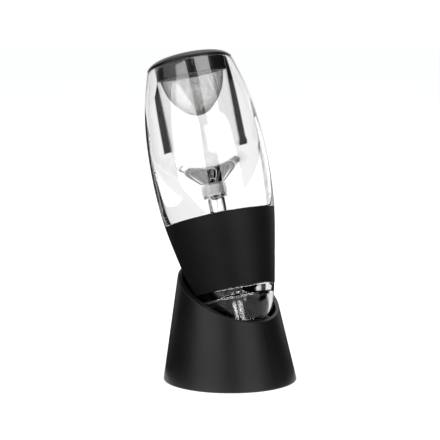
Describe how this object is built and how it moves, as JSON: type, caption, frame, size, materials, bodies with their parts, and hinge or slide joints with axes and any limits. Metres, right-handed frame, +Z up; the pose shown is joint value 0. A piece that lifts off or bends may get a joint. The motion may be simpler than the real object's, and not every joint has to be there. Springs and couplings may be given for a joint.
{
  "type": "wine aerator pourer",
  "caption": "Clear barrel-shaped wine aerator with a bowl in its thick body, a black strainer rim and a black grip band, leaning in a black conical stand.",
  "frame": {"origin": "centre of the stand's base, on the surface that it stands on", "axes": "+Z up; the aerator leans towards -X in the XZ plane; the low side of the stand's mouth faces +X"},
  "size_m": [0.0765, 0.0588, 0.1452],
  "materials": {
    "stand_plastic": "satin moulded",
    "clear_acrylic": "polished clear",
    "seal_rubber": "matt",
    "grip_silicone": "soft satin",
    "rim_plastic": "satin moulded",
    "steel_mesh": "fine woven"
  },
  "bodies": {
    "root": {"stand": "stand_plastic", "upper_body": "clear_acrylic", "lower_body": "clear_acrylic", "venturi_tube": "clear_acrylic", "throat_bush": "clear_acrylic", "throat_seal": "seal_rubber", "body_seal": "seal_rubber", "grip_band": "grip_silicone", "strainer_ring": "rim_plastic", "strainer_mesh": "steel_mesh"}
  },
  "joints": []
}
